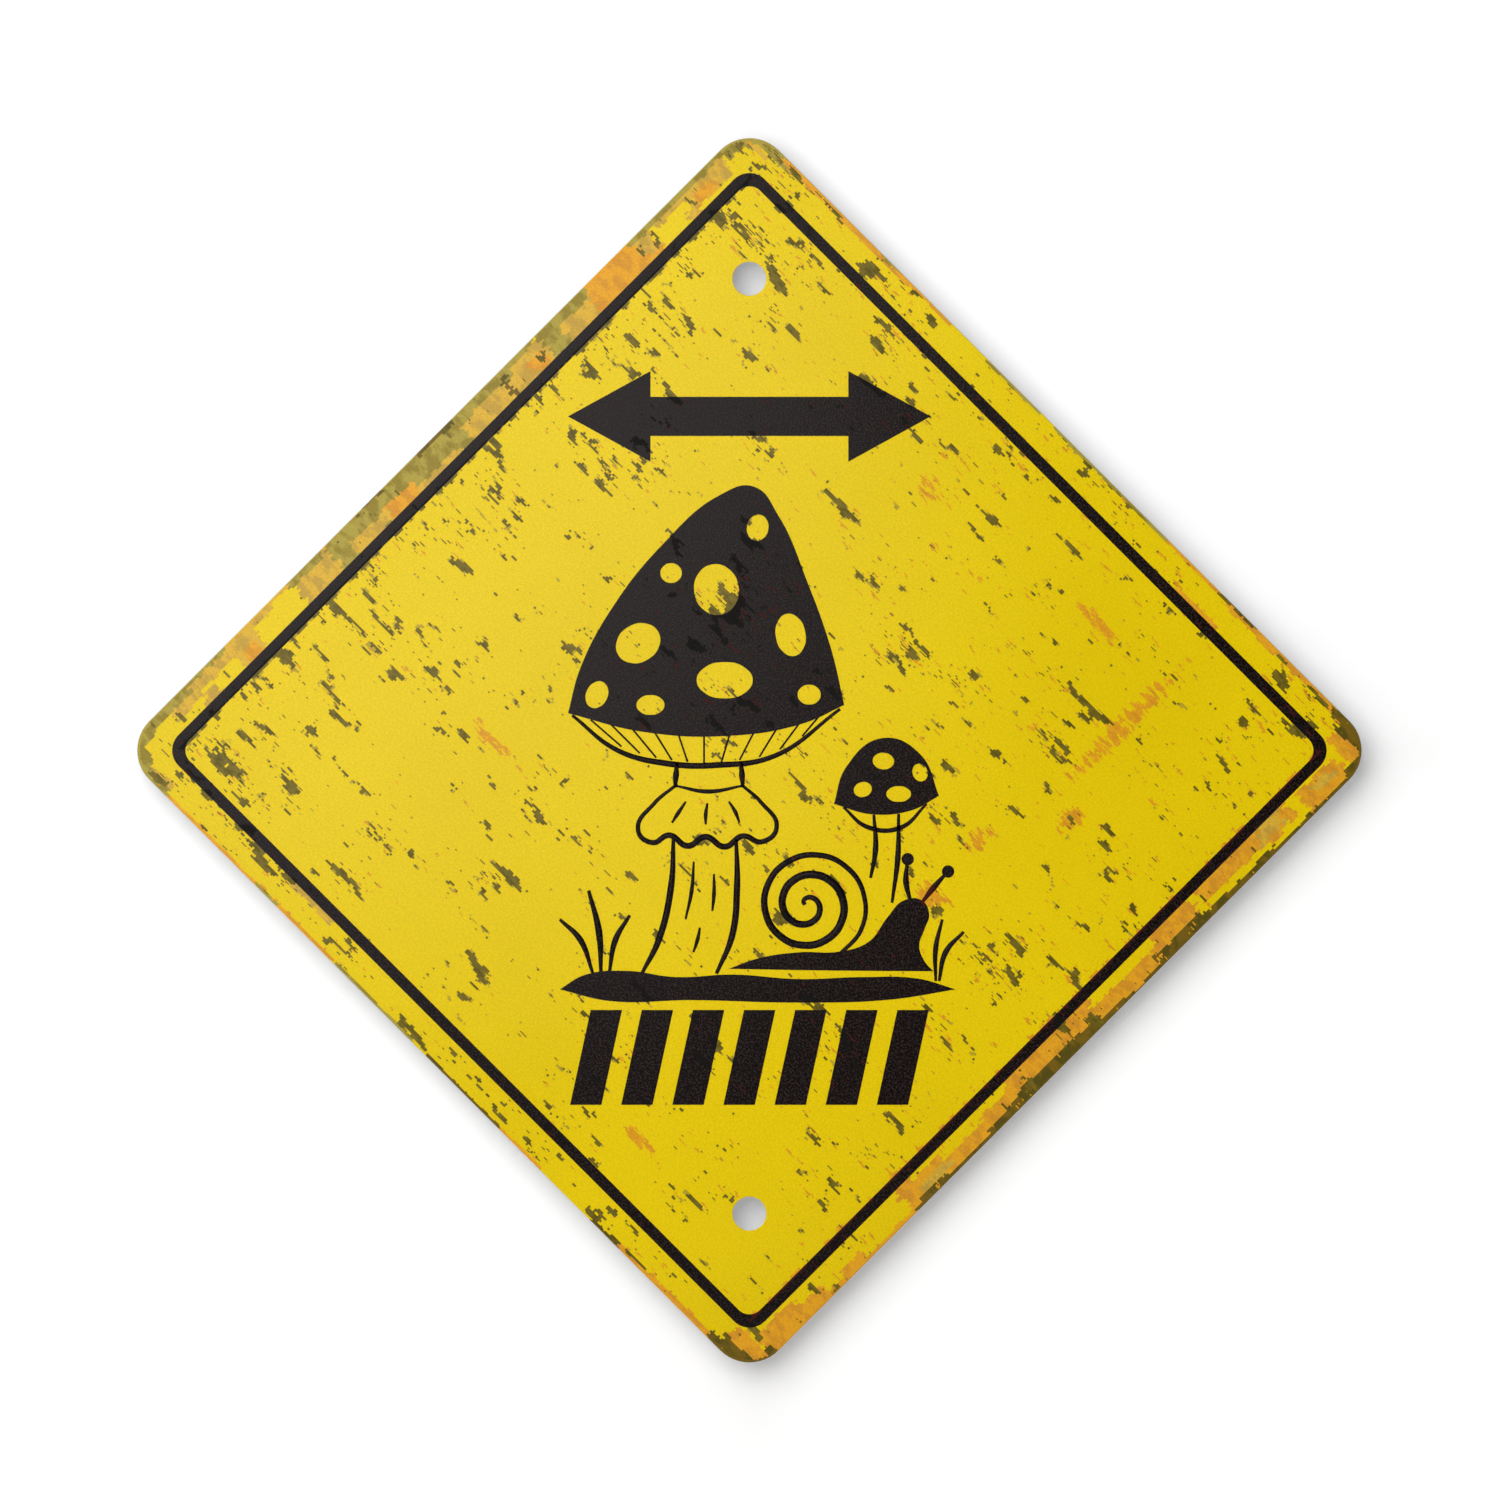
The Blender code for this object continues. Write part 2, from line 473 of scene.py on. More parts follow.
def stain_numbers(bench, along, across):
    """Each place's kind of stain as a number, 0 where the margin is bare."""
    kinds = list(STAIN_AND_RIM_SHADE_COLOURS)
    kind_here = 0
    for side, (run, depth) in side_places(bench, along, across).items():
        for kind, start, end, shallow, deep in STAINS_AND_RIM_SHADE[side]:
            within = (run > start) * (run < end) * (depth < deep)
            if shallow:
                within = within * (depth > shallow)
            kind_here = kind_here * (1 - within) + within * (kinds.index(kind) + 1)
    return kind_here


def new_geometry_tree(name, inputs):
    """A Geometry Nodes tree, its bench and its named inputs, each a socket type and a value."""
    tree = bpy.data.node_groups.new(name, "GeometryNodeTree")
    tree.interface.new_socket("Geometry", in_out="OUTPUT", socket_type="NodeSocketGeometry")
    for label, kind in inputs.items():
        tree.interface.new_socket(label, in_out="INPUT", socket_type=kind)
    bench = Bench(tree)
    entry = bench.add("NodeGroupInput").outputs
    return bench, {label: Number(bench, entry[label]) for label in inputs}


def grown_mesh(bench, geometry, finish, settings):
    """Ends a tree in real geometry with its finish, runs it once and gives the plain mesh."""
    tree = bench.tree
    real = bench.add("GeometryNodeRealizeInstances", None, {"Geometry": geometry})
    finished = bench.add("GeometryNodeSetMaterial", None, {"Geometry": real, "Material": finish})
    bench.feed(bench.add("NodeGroupOutput").inputs[0], finished)
    holder = bpy.data.objects.new(tree.name, bpy.data.meshes.new(tree.name))
    bpy.context.scene.collection.objects.link(holder)
    grower = holder.modifiers.new(tree.name, "NODES")
    grower.node_group = tree
    for item in tree.interface.items_tree:
        if item.in_out == "INPUT":
            grower[item.identifier] = settings[item.name]
    evaluated = holder.evaluated_get(bpy.context.evaluated_depsgraph_get())
    mesh = bpy.data.meshes.new_from_object(evaluated)
    holder.modifiers.remove(grower)
    bpy.data.objects.remove(holder)
    return mesh


def finished_piece(name, mesh, place):
    """A piece at the origin with its place in its mesh, riding on the sheet."""
    mesh.name = name
    mesh.transform(place)
    piece = bpy.data.objects.new(name, mesh)
    bpy.context.scene.collection.objects.link(piece)
    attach(piece, "root")


WELD = 0.001  # points of a layer that are nearer than this are one


def screened_ink(name, rule, finish, ink_top, cells_across):
    """One pull of ink: the screen's cells where the rule says so, as a thin closed layer."""
    inputs = {
        "Width": "NodeSocketFloat",
        "Cells along": "NodeSocketInt",
        "Cells across": "NodeSocketInt",
        "Ink foot": "NodeSocketFloat",
        "Ink top": "NodeSocketFloat",
    }
    bench, entry = new_geometry_tree(name, inputs)
    width = entry["Width"]
    corners = {"Vertices X": entry["Cells along"] + 1, "Vertices Y": entry["Cells across"] + 1}
    screen = bench.add("GeometryNodeMeshGrid", None, {"Size X": width, "Size Y": width, **corners})
    along, across, _ = bench.split(bench.add("GeometryNodeInputPosition"))
    clear, depth = on_the_flat(bench, along, across)
    printed = rule(bench, along, across, depth) * clear
    blank = {"Geometry": screen, "Selection": 1 - printed}
    cells = bench.add("GeometryNodeDeleteGeometry", {"domain": "FACE"}, blank)
    sink = bench.add("ShaderNodeCombineXYZ", None, {"Z": entry["Ink foot"]})
    foot = bench.add("GeometryNodeSetPosition", None, {"Geometry": cells, "Offset": sink})
    height = entry["Ink top"] - entry["Ink foot"]
    raised = {"Mesh": foot, "Offset Scale": height, "Individual": False}
    body = bench.add("GeometryNodeExtrudeMesh", {"mode": "FACES"}, raised)
    underside = bench.add("GeometryNodeFlipFaces", None, {"Mesh": foot})
    layer = bench.add("GeometryNodeJoinGeometry")
    bench.feed(layer.inputs[0], body)
    bench.feed(layer.inputs[0], underside)
    closed = bench.add("GeometryNodeMergeByDistance", None, {"Geometry": layer, "Distance": WELD})
    map_along, map_across = along / width + 0.5, across / width + 0.5
    place = bench.add("ShaderNodeCombineXYZ", None, {"X": map_along, "Y": map_across})
    flat_map = {"Geometry": closed, "Name": "OFBake", "Value": place}
    settings = {"data_type": "FLOAT2", "domain": "CORNER"}
    mapped = bench.add("GeometryNodeStoreNamedAttribute", settings, flat_map)
    values = {"Width": FLAT, "Cells along": SCREEN_CELLS, "Cells across": cells_across}
    values |= {"Ink foot": INK_FOOT, "Ink top": ink_top}
    mesh = grown_mesh(bench, mapped, finish, values)
    finished_piece(name, mesh, SQUARE_TO_THE_SHEET)


def stain_finish(kind):
    finish, bench, shader = new_finish(f"printed_{kind}_stain")
    along, across, _ = sheet_place(bench)
    light, dark = STAIN_AND_RIM_SHADE_COLOURS[kind]
    mottle = bench.noise(along, across, (5.5, 3.2), 4.0, 0.6, seed=40.0).ramp(0.46, 0.56)
    grain = ink_grain(bench, along, across)
    colour = bench.colour(mottle, light, dark)
    grained(bench, shader, colour, grain, 0.5, grain, DRY_INK + grain * 0.1)
    return finish


def stain_rule(number):
    """The rule for the stains of one kind, which end under the middle of the black line."""

    def rule(bench, along, across, depth):
        kind_here = stain_numbers(bench, along, across)
        return (abs(kind_here - number) < 0.5) * (depth < (LINE_OUTER + LINE_INNER) / 2)

    return rule


# The brown layer is partly painted shade, on the lower right rim and the right and bottom tips
for number, kind in enumerate(STAIN_AND_RIM_SHADE_COLOURS, start=1):
    screened_ink(f"{kind}_stains", stain_rule(number), stain_finish(kind), STAIN_TOP, SCREEN_CELLS)


# Over the stains lie printed chips, as if the enamel had flaked: dark ones, drawn out along the
# sheet and thickest by its tips and upper left side, a paler fringe on some of them, and a few
# rusty streaks. They are three more pulls, through a screen that is twice as fine across.

CHIP_TOP = 0.030
PULL = 0.004  # how much higher one pull of ink stands than the one under it
CHIP_CELLS_ACROSS = 2 * SCREEN_CELLS
CHIP_CELL = CELL / 2  # across the sheet, and a whole cell along it
CHIP_LEAN = math.radians(3)  # the chips lie a little steeper than the sheet's own side

# Where the sign looks most knocked: along, across, how far that reaches each way, how badly
WORN_SPOTS = [
    (-47.5, 93.5, 8.0, 5.5, 1.8),
    (-47.5, -93.0, 8.0, 5.5, 1.8),
    (-87.5, 89.5, 8.0, 4.2, 1.5),
    (-87.5, -91.0, 8.5, 4.2, 1.6),
    (-76.0, 93.6, 10.0, 3.4, 1.6),
    (-76.0, -93.6, 10.0, 3.4, 1.4),
    (-79.0, -101.5, 8.0, 2.4, 1.4),
    (-58.0, 103.5, 8.0, 2.6, 1.2),
    (-58.0, -102.5, 8.0, 3.0, 1.2),
    (-74.0, 22.0, 22.0, 12.0, 0.5),
    (-74.0, -44.0, 16.0, 9.0, 0.7),
    (-20.0, 15.0, 30.0, 24.0, 0.7),
    (-51.5, -48.7, 11.0, 5.5, 0.9),
    (7.0, 44.8, 10.0, 6.5, 1.2),
    (49.8, 53.3, 10.0, 6.5, 1.2),
    (80.7, 5.3, 14.0, 13.0, 0.9),
    (-8.2, -46.3, 11.0, 5.0, 1.2),
    (-6.0, -84.5, 11.0, 3.6, 1.3),
]
# Where rusty ink ran, in the same terms
RUSTY_SPOTS = [
    (60.0, 68.0, 3.6, 26.0, 1.9),
    (38.0, 81.6, 10.0, 2.4, 2.3),
    (-46.0, -42.5, 14.0, 2.6, 2.0),
    (-14.0, 76.0, 5.0, 4.0, 1.6),
    (48.0, -85.6, 9.0, 2.4, 2.3),
    (56.0, 6.3, 5.0, 4.0, 2.2),
    (66.8, 43.4, 4.0, 5.0, 1.6),
    (55.0, 24.0, 3.0, 6.0, 1.6),
]


def chip_place(along, across):
    """Along and across, turned to lie as the chips do."""
    lean_along = along * math.cos(CHIP_LEAN) - across * math.sin(CHIP_LEAN)
    lean_across = along * math.sin(CHIP_LEAN) + across * math.cos(CHIP_LEAN)
    return lean_along, lean_across


def spread(bench, place, size, detail, rough, seed):
    """Noise as a score: about 0, and past 2 at a few places in a hundred."""
    return (bench.noise(*place, size, detail, rough, seed) - 0.5) * 9.0


def pushed(bench, along, across, spots):
    """What the listed spots add to a score."""
    push = 0
    for spot_along, spot_across, reach_along, reach_across, badly in spots:
        off_along = (along - spot_along) / reach_along
        off_across = (across - spot_across) / reach_across
        off = bench.sum("SQRT", off_along * off_along + off_across * off_across)
        push = push + off.ramp(1.0, 0.35) * badly
    return push


def wear(bench, along, across):
    """How knocked the print makes each place look, as something to add to a chip's score."""
    upper_left = (along + HALF).ramp(42.0, 10.0) * 0.7
    stained_side = (along + HALF).ramp(LINE_INNER, LINE_OUTER) * 1.1
    from_side = HALF - abs(across)
    upper_sides = from_side.ramp(24.0, 6.0) * along.ramp(80.0, -90.0) * 0.35
    margins = from_side.ramp(LINE_INNER, LINE_OUTER) * 0.2
    clusters = spread(bench, (along, across), (19, 10), 3.0, 0.55, seed=50.0) * 0.75
    worn = upper_left + upper_sides + margins + clusters - stained_side
    return worn + pushed(bench, along, across, WORN_SPOTS)


# The scores past which dark chips and their fine ticks lie, pale chips on their own, and rust
FLAKED = 1.80
TICKED = 2.06
PALE = 2.1
RUSTED = 1.70
FRINGE = 0.26  # how far short of a dark chip's score its pale fringe starts


def cell_middle(bench, place, cell):
    """The middle of the cell that a place lies in."""
    return bench.sum("SNAP", place, cell) + cell / 2


def flake_score(bench, along, across):
    """How near each whole cell is to lying in a dark chip, and how worn it is."""
    whole = cell_middle(bench, across, CELL)
    worn = wear(bench, along, whole)
    place = chip_place(along, whole)
    blobs = spread(bench, place, (6.4, 2.5), 4.0, 0.55, seed=60.0)
    bodies = spread(bench, place, (11.0, 4.6), 2.0, 0.5, seed=63.0)
    return blobs + bodies * 0.7 + worn * 0.85, worn


def line_fringe(bench, along, across, depth, missing):
    """Short lengths of cells inside the black line, on the upper left and lower right sides."""
    whole = cell_middle(bench, across, CELL)
    broken = bench.noise(along, whole, (30.0, 3.6), 2.0, 0.6, seed=83.0) - missing
    beside_line = (depth > LINE_INNER - CELL) * (depth < LINE_INNER + CELL * 0.66 + broken * 5.0)
    return beside_line * (abs(along) > abs(across))


def dark_rule(bench, along, across, depth):
    score, worn = flake_score(bench, along, across)
    place = chip_place(along, across)
    ticks = spread(bench, place, (3.2, 0.42), 2.0, 0.5, seed=70.0) + worn * 0.7 > TICKED
    by_line = line_fringe(bench, along, across, depth, missing=0.51) * (along < 0)
    return bench.sum("MAXIMUM", bench.sum("MAXIMUM", score > FLAKED, ticks), by_line)


def light_rule(bench, along, across, depth):
    score, worn = flake_score(bench, along, across)
    patchy = bench.noise(along, across, (3.2, 2.2), 1.0, 0.5, seed=81.0) > 0.54
    fringe = (score > FLAKED - FRINGE) * (score < FLAKED) * patchy
    place = chip_place(along, across)
    alone = spread(bench, place, (4.2, 0.8), 3.0, 0.55, seed=80.0) + worn * 0.6 > PALE
    by_line = line_fringe(bench, along, across, depth, missing=0.47) * (along < 0)
    in_field = bench.sum("MAXIMUM", fringe, alone) * (depth > LINE_OUTER)
    return bench.sum("MAXIMUM", in_field, by_line)


def rusty_rule(bench, along, across, depth):
    place = chip_place(along, across)
    right_half = (along + across).ramp(-60.0, 60.0)
    streaks = spread(bench, place, (4.8, 1.1), 4.0, 0.6, seed=90.0)
    worn = wear(bench, along, across)
    runs = pushed(bench, along, across, RUSTY_SPOTS)
    rusted = streaks + right_half * 0.36 + worn * 0.4 + runs > RUSTED
    by_line = line_fringe(bench, along, across, depth, missing=0.57) * (along > 0)
    return bench.sum("MAXIMUM", rusted, by_line)


def chip_finish(name, first, second):
    """A chip's ink, mottled between two colours as a screen shows them."""
    finish, bench, shader = new_finish(name)
    along, across, _ = sheet_place(bench)
    mottle = bench.noise(along, across, (2.6, 1.4), 3.0, 0.6, seed=95.0).ramp(0.4, 0.62)
    grain = ink_grain(bench, along, across)
    colour = bench.colour(mottle, screen_colour(*first), screen_colour(*second))
    grained(bench, shader, colour, grain, 0.6, grain, DRY_INK + grain * 0.1)
    return finish


dark_finish = chip_finish("printed_dark_chip", (116, 100, 30), (88, 77, 14))
light_finish = chip_finish("printed_light_chip", (184, 158, 38), (166, 140, 40))
rusty_finish = chip_finish("printed_rusty_chip", (222, 158, 26), (205, 140, 30))
screened_ink("rusty_streaks", rusty_rule, rusty_finish, CHIP_TOP - 2 * PULL, CHIP_CELLS_ACROSS)
screened_ink("light_chips", light_rule, light_finish, CHIP_TOP - PULL, CHIP_CELLS_ACROSS)
screened_ink("dark_chips", dark_rule, dark_finish, CHIP_TOP, CHIP_CELLS_ACROSS)


# The line inside the sheet's edge is black ink, printed last and thickest. It covers the packed
# sheet's own ridge, and old marks under it show through as darker and redder stretches.

BLACK_TOP = 0.050
BLACK_SHEEN = 0.06
LINE_OUTER_RADIUS = 5.3
LINE_INNER_RADIUS = 3.7
COVER = 0.02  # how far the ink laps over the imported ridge's edges
STENCIL_WELD = 1e-4


def black_finish():
    """Speckled black, duller and darker over the printed chips and redder over the rusty ones."""
    finish, bench, shader = new_finish("black_screen_ink", BLACK_SHEEN)
    along, across, _ = sheet_place(bench)
    grain = ink_grain(bench, along, across)
    cell = cell_middle(bench, along, CELL), cell_middle(bench, across, CHIP_CELL)
    depth, _ = edge_depth(bench, *cell)
    chipped = dark_rule(bench, *cell, depth)
    rusted = rusty_rule(bench, *cell, depth)
    speckle = grain.ramp(-0.02, 0.12)
    colour = bench.colour(speckle, screen_colour(12, 3, 2), screen_colour(36, 28, 26))
    colour = bench.colour(rusted, colour, screen_colour(58, 15, 11))
    colour = bench.colour(chipped, colour, screen_colour(8, 6, 4))
    marked = bench.sum("MAXIMUM", chipped, rusted)
    gloss = SATIN + marked * 0.26 + grain.ramp(0.0, 0.16) * 0.2
    grained(bench, shader, colour, grain, 0.9, grain * 2, gloss)
    return finish


black_ink = black_finish()


def cut_stencil(name, outlines):
    """Black ink in flat outlines, each a list of (right, up), with "corner" where it turns sharply.

    An outline inside another leaves it bare.
    """
    drawing = bpy.data.curves.new(name, "CURVE")
    drawing.dimensions = "2D"
    drawing.fill_mode = "BOTH"
    drawing.extrude = (BLACK_TOP - INK_FOOT) / 2
    drawing.resolution_u = 10
    for outline in outlines:
        spline = drawing.splines.new("BEZIER")
        spline.bezier_points.add(len(outline) - 1)
        for point, spot in zip(spline.bezier_points, outline):
            point.co = (spot[0], spot[1], 0.0)
            handle = "VECTOR" if len(spot) == 3 else "AUTO"
            point.handle_left_type = point.handle_right_type = handle
        spline.use_cyclic_u = True
    holder = bpy.data.objects.new(name, drawing)
    bpy.context.scene.collection.objects.link(holder)
    evaluated = holder.evaluated_get(bpy.context.evaluated_depsgraph_get())
    mesh = bpy.data.meshes.new_from_object(evaluated)
    bpy.data.objects.remove(holder)
    bm = bmesh.new()
    bm.from_mesh(mesh)
    bmesh.ops.remove_doubles(bm, verts=bm.verts, dist=STENCIL_WELD)
    bmesh.ops.recalc_face_normals(bm, faces=bm.faces)
    bmesh.ops.translate(bm, verts=bm.verts, vec=(0, 0, (BLACK_TOP + INK_FOOT) / 2))
    bm.to_mesh(mesh)
    bm.free()
    mesh.materials.clear()
    mesh.materials.append(black_ink)
    finished_piece(name, mesh, ON_THE_FACE)


def rounded_diamond(half_side, radius, steps=12):
    """A square stood on its corner, with round corners."""
    reach = (half_side - radius) * math.sqrt(2)
    outline = []
    for quarter in range(4):
        middle = math.radians(90 * quarter)
        for step in range(steps + 1):
            turn = middle + math.radians(90) * (step / steps - 0.5)
            right = reach * math.cos(middle) + radius * math.cos(turn)
            up = reach * math.sin(middle) + radius * math.sin(turn)
            outline.append((right, up, "corner"))
    return outline


line_outer = rounded_diamond(HALF - LINE_OUTER + COVER, LINE_OUTER_RADIUS)
line_inner = rounded_diamond(HALF - LINE_INNER - COVER, LINE_INNER_RADIUS)
cut_stencil("black_line", [line_outer, line_inner])


# Above the picture is a plain double-headed arrow, and below it the slanting bars of a crossing,
# bold enough to be seen from a distance, in the same black ink.

ARROW_CENTRE = 81.0
ARROW_LENGTH = 88.0
ARROW_HEIGHT = 22.0
ARROW_HEAD = 20.0
ARROW_SHAFT = 9.5

neck = ARROW_LENGTH / 2 - ARROW_HEAD
right_head = [
    (neck, -ARROW_SHAFT / 2),
    (neck, -ARROW_HEIGHT / 2),
    (ARROW_LENGTH / 2, 0.0),
    (neck, ARROW_HEIGHT / 2),
    (neck, ARROW_SHAFT / 2),
]
arrow = right_head + [(-right, -up) for right, up in right_head]
cut_stencil("crossing_arrow", [[(right, up + ARROW_CENTRE, "corner") for right, up in arrow]])

BARS = 7
BAR_WIDTH = 7.6
BAR_PITCH = 12.4
BAR_HEIGHT = 23.0
BAR_LEAN = 5.0
BARS_CENTRE = -74.5
BAR_CORNERS = [(-0.5, -0.5), (0.5, -0.5), (0.5, 0.5), (-0.5, 0.5)]

bars = []
for bar in range(BARS):
    middle = (bar - (BARS - 1) / 2) * BAR_PITCH
    outline = []
    for side, end in BAR_CORNERS:
        right = middle + side * BAR_WIDTH + end * BAR_LEAN
        outline.append((right, BARS_CENTRE + end * BAR_HEIGHT, "corner"))
    bars.append(outline)
cut_stencil("crossing_bars", bars)


# The picture is a plain garden one: a tall toadstool, a small one, and a snail that crosses under
# them. Caps, ground and the snail's foot are solid black, and the rest is drawn in line, each
# stroke swelling in its middle and thin at its ends, as a brush leaves it.


def ring(right, up, wide, tall, lean=0.0, points=8):
    """A smooth oval outline, leaning by an angle in degrees."""
    turn = Matrix.Rotation(math.radians(lean), 2)
    outline = []
    for step in range(points):
        angle = 2 * math.pi * step / points
        spot = turn @ Vector((wide * math.cos(angle), tall * math.sin(angle)))
        outline.append((right + spot.x, up + spot.y))
    return outline


tall_cap = [
    (-44, 9, "corner"),
    (-41, 20),
    (-33, 35),
    (-21, 50),
    (-7, 62),
    (1, 64),
    (7, 57),
    (14, 41),
    (20, 24),
    (23, 11, "corner"),
    (13, 6.5),
    (-5, 3.5),
    (-26, 4.5),
]
tall_cap_spots = [
    ring(-27, 26, 5.6, 4.6, 30),
    ring(-8, 39, 5.4, 6.2, 10),
    ring(-6, 17, 6.8, 4.4, 0),
    ring(10, 28, 3.6, 5.2, 10),
    ring(-37, 13.5, 2.6, 3.4, -25),
    ring(-24, 11, 3.4, 2.4, 0),
    ring(-19, 43, 2.6, 2.4, 0),
    ring(2, 54, 2.6, 3.2, -10),
    ring(14.5, 13.5, 2.8, 2.4, 0),
]
small_cap = [
    (20.5, -13, "corner"),
    (23.5, -4),
    (32.5, 3),
    (41.5, -1),
    (46, -11, "corner"),
    (39.5, -14.5),
    (29.5, -15.5),
]
small_cap_spots = [
    ring(27.5, -9.5, 2.2, 1.8, 15),
    ring(32.5, -2.6, 2.6, 2.0, -5),
    ring(36.2, -10.6, 3.0, 1.9, 0),
    ring(41.4, -5.4, 1.8, 2.2, 20),
]
ground = [
    (-46, -58, "corner"),
    (-40, -54.5),
    (-30, -53.5),
    (-18, -55),
    (-4, -54.4),
    (12, -55.5),
    (28, -55.0),
    (41, -55.4),
    (50, -58, "corner"),
    (34, -60.5),
    (12, -61.2),
    (-14, -60.6),
    (-34, -60.8),
]
snail_foot = [
    (-5, -53.0, "corner"),
    (2, -50.5),
    (12, -49),
    (22, -48.8),
    (29, -46.4),
    (33.5, -40.5),
    (37.5, -36.4),
    (41.8, -36.4),
    (43.6, -39.6),
    (42.4, -43.6),
    (41.2, -47.4),
    (42.4, -51),
    (44.6, -53.6, "corner"),
    (18, -53.4),
]
cut_stencil("toadstool_caps", [tall_cap, *tall_cap_spots, small_cap, *small_cap_spots])
cut_stencil("ground", [ground])
cut_stencil("snail_foot", [snail_foot])
cut_stencil("snail_feelers", [ring(38.4, -26.4, 1.5, 1.5), ring(48.2, -29.4, 1.5, 1.5)])

SHELL_CENTRE = (15.0, -37.5)
SHELL_TURNS = 2.6
SHELL_RADIUS = 14.0
SHELL_STEPS = 26
SHELL_LIP = math.radians(-62)  # where its spiral starts
SHELL_TIGHTENS = 0.82
SHELL_DRIFT = 1.5  # how far its middle lies to the left of its centre

shell = []
for step in range(SHELL_STEPS + 1):
    share = step / SHELL_STEPS
    angle = SHELL_LIP + share * SHELL_TURNS * 2 * math.pi
    radius = SHELL_RADIUS * (1 - share) ** SHELL_TIGHTENS
    right = SHELL_CENTRE[0] - share * SHELL_DRIFT + radius * math.cos(angle)
    shell.append((right, SHELL_CENTRE[1] + radius * math.sin(angle)))

# Each stroke is a brush width and the points that it runs through
strokes = [
    (1.9, shell),
    # The tall one's stem, above its skirt and below
    (1.5, [(-17.6, -3), (-17.8, -6), (-18, -9)]),
    (1.5, [(-2, -3), (-1.8, -6), (-1.6, -9)]),
    (1.7, [(-18.4, -21), (-19, -33), (-22, -46), (-26, -54)]),
    (1.7, [(-3.2, -21.6), (-3, -33), (-4.2, -45), (-8, -54.2)]),
    (1.0, [(-13.5, -27), (-14, -34), (-15.5, -41)]),
    (1.0, [(-8.6, -30), (-8.6, -35), (-9, -39)]),
    (1.0, [(-12, -43), (-12.6, -46), (-13.6, -49)]),
    # Its skirt, and the pleats in it
    (1.1, [(-18, -8.6), (-10, -10), (-1.6, -8.6)]),
    (
        1.5,
        [
            (-18, -8.6),
            (-23, -12.8),
            (-27, -19.4),
            (-23.6, -22.4),
            (-19.4, -20.6),
            (-15, -23.2),
            (-10.6, -21),
            (-6, -23.4),
            (-1.6, -20.8),
            (3, -22.2),
            (6.6, -18.8),
            (2.8, -12.6),
            (-1.6, -8.6),
        ],
    ),
    (1.0, [(-15.4, -12.4), (-17.4, -15.4), (-18.8, -17.6)]),
    (1.0, [(-10.2, -12.8), (-10.6, -15.6), (-10.6, -18)]),
    (1.0, [(-5, -12.4), (-3.4, -15), (-2.4, -17.6)]),
    # The veil under its cap, and its gills
    (1.5, [(-43, 8.5), (-32, 0), (-20, -3.2), (-8, -3.6), (6, -1.4), (22, 10)]),
    (0.9, [(-38.5, 7.4), (-31, 0.9)]),
    (0.9, [(-33.5, 6.2), (-26.6, -0.7)]),
    (0.9, [(-28.4, 5.2), (-22.6, -1.8)]),
    (0.9, [(-23, 4.4), (-18.8, -2.4)]),
    (0.9, [(-17.2, 3.8), (-15, -2.8)]),
    (0.9, [(-11, 3.6), (-11, -3)]),
    (0.9, [(-4.8, 3.8), (-6.8, -2.9)]),
    (0.9, [(1, 4.2), (-2.4, -2.4)]),
    (0.9, [(6.6, 5.2), (2.4, -1.6)]),
    (0.9, [(12, 6.4), (7.4, 0.2)]),
    (0.9, [(17, 8.4), (12.8, 3.4)]),
    # The small one behind the snail
    (1.2, [(22.8, -13.8), (28.6, -18.6), (36.6, -18.8), (43, -13)]),
    (1.4, [(30.2, -15.6), (30.6, -24), (29.4, -31)]),
    (1.4, [(36.2, -15.4), (36, -26), (34.6, -37)]),
    # The snail's feelers, and the grass at both ends
    (1.5, [(39.2, -37), (38, -32), (38.3, -27.2)]),
    (1.5, [(41.8, -37), (44.6, -33.4), (47.6, -30)]),
    (1.5, [(-38, -54), (-41, -46), (-46, -41)]),
    (1.7, [(-36, -54), (-36.5, -44), (-39, -34)]),
    (1.5, [(-34, -54), (-32.5, -46), (-29, -40)]),
    (1.4, [(46, -56), (47.6, -49), (52, -44)]),
    (1.3, [(45.2, -56), (45.2, -48), (46.8, -41)]),
]
BRUSH_TIP = 0.5  # a stroke's width at its ends, as a share of its middle's

guide = bpy.data.curves.new("brush_guide", "CURVE")
guide.dimensions = "3D"
guide.resolution_u = 12
for width, points in strokes:
    spline = guide.splines.new("BEZIER")
    spline.bezier_points.add(len(points) - 1)
    for index, (point, spot) in enumerate(zip(spline.bezier_points, points)):
        point.co = (*spot, 0.0)
        point.handle_left_type = point.handle_right_type = "AUTO"
        swell = math.sin(math.pi * index / (len(points) - 1))
        point.radius = width / 2 * (BRUSH_TIP + (1 - BRUSH_TIP) * swell)
guides = bpy.data.objects.new("brush_guide", guide)
bpy.context.scene.collection.objects.link(guides)

inputs = {
    "Strokes": "NodeSocketObject",
    "Ink foot": "NodeSocketFloat",
    "Ink top": "NodeSocketFloat",
}
bench, entry = new_geometry_tree("brush_lines", inputs)
drawn = bench.add("GeometryNodeObjectInfo", None, {"Object": entry["Strokes"]}).outputs["Geometry"]
upright = bench.add("GeometryNodeSetCurveNormal", {"mode": "Z_UP"}, {"Curve": drawn})
brush = bench.add("GeometryNodeCurvePrimitiveQuadrilateral", None, {"Width": 2.0, "Height": 1.0})
radius = bench.add("GeometryNodeInputRadius")
sweep = {"Curve": upright, "Profile Curve": brush, "Scale": radius, "Fill Caps": True}
ribbon = bench.add("GeometryNodeCurveToMesh", None, sweep)
right, up, level = bench.split(bench.add("GeometryNodeInputPosition"))
ink_level = entry["Ink foot"] + (level > 0) * (entry["Ink top"] - entry["Ink foot"])
to = bench.add("ShaderNodeCombineXYZ", None, {"X": right, "Y": up, "Z": ink_level})
inked = bench.add("GeometryNodeSetPosition", None, {"Geometry": ribbon, "Position": to})
